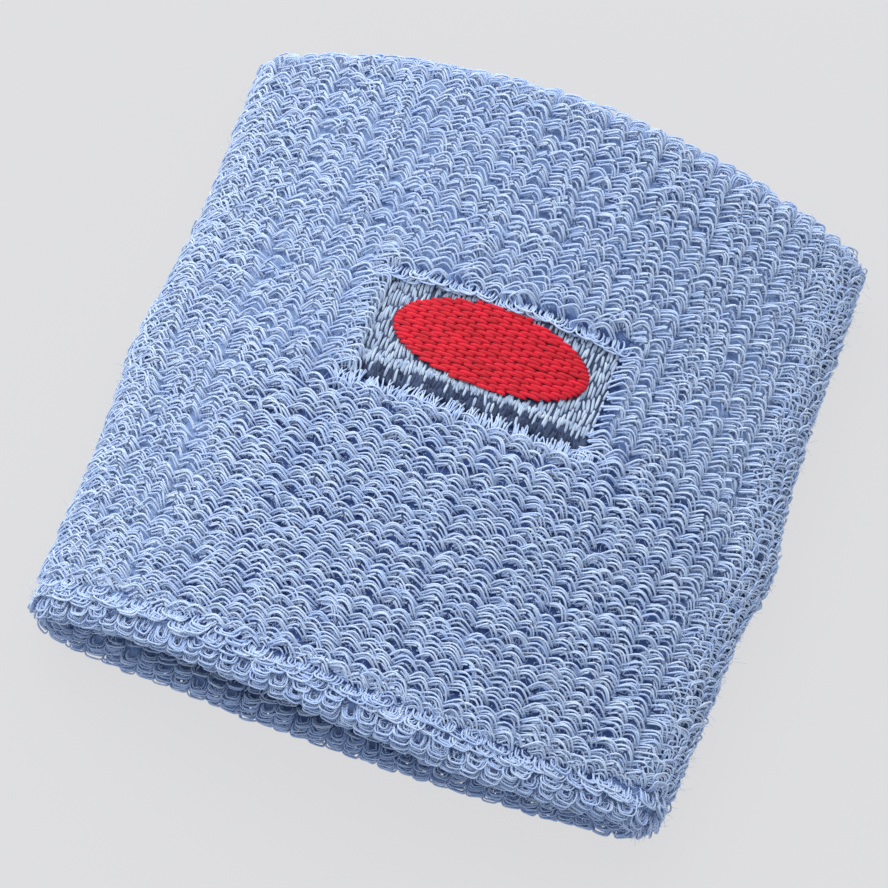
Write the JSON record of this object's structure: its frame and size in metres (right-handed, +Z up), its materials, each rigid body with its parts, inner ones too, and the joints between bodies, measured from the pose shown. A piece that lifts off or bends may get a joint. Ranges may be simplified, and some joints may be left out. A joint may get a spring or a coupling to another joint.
{
  "type": "sweat wristband",
  "caption": "Doubled terry-knit tube for the wrist, lying flat with its opening slightly parted and a small embroidered patch on the upper face.",
  "frame": {"origin": "centre of the band's footprint on the surface that it lies on", "axes": "+Z up through the embroidered upper wall, Y along the axis of the tube with the motif nearer the +Y rim, X across the flattened tube"},
  "size_m": [0.0806, 0.084, 0.0215],
  "materials": {
    "terry_pile": "light blue terry loops, each of a few soft parallel strands, matt with a faint sheen",
    "linking_thread": "light blue spun polyester sewing thread",
    "covered_elastic": "off-white rubber core covered with nylon yarn",
    "backing_fleece": "thin white non-woven embroidery backing",
    "bobbin_thread": "fine white polyester bobbin thread",
    "ground_thread": "grey-blue lustrous embroidery thread",
    "shadow_thread": "navy lustrous embroidery thread",
    "motif_thread": "bright red lustrous embroidery thread"
  },
  "bodies": {
    "root": {"outer_terry_layer": "terry_pile", "inner_terry_layer": "terry_pile", "closing_seam": "linking_thread", "elastic_yarn": "covered_elastic", "embroidery_backing": "backing_fleece", "bobbin_stitches": "bobbin_thread", "ground_stitches": "ground_thread", "shadow_stitches": "shadow_thread", "motif_stitches": "motif_thread"}
  },
  "joints": []
}
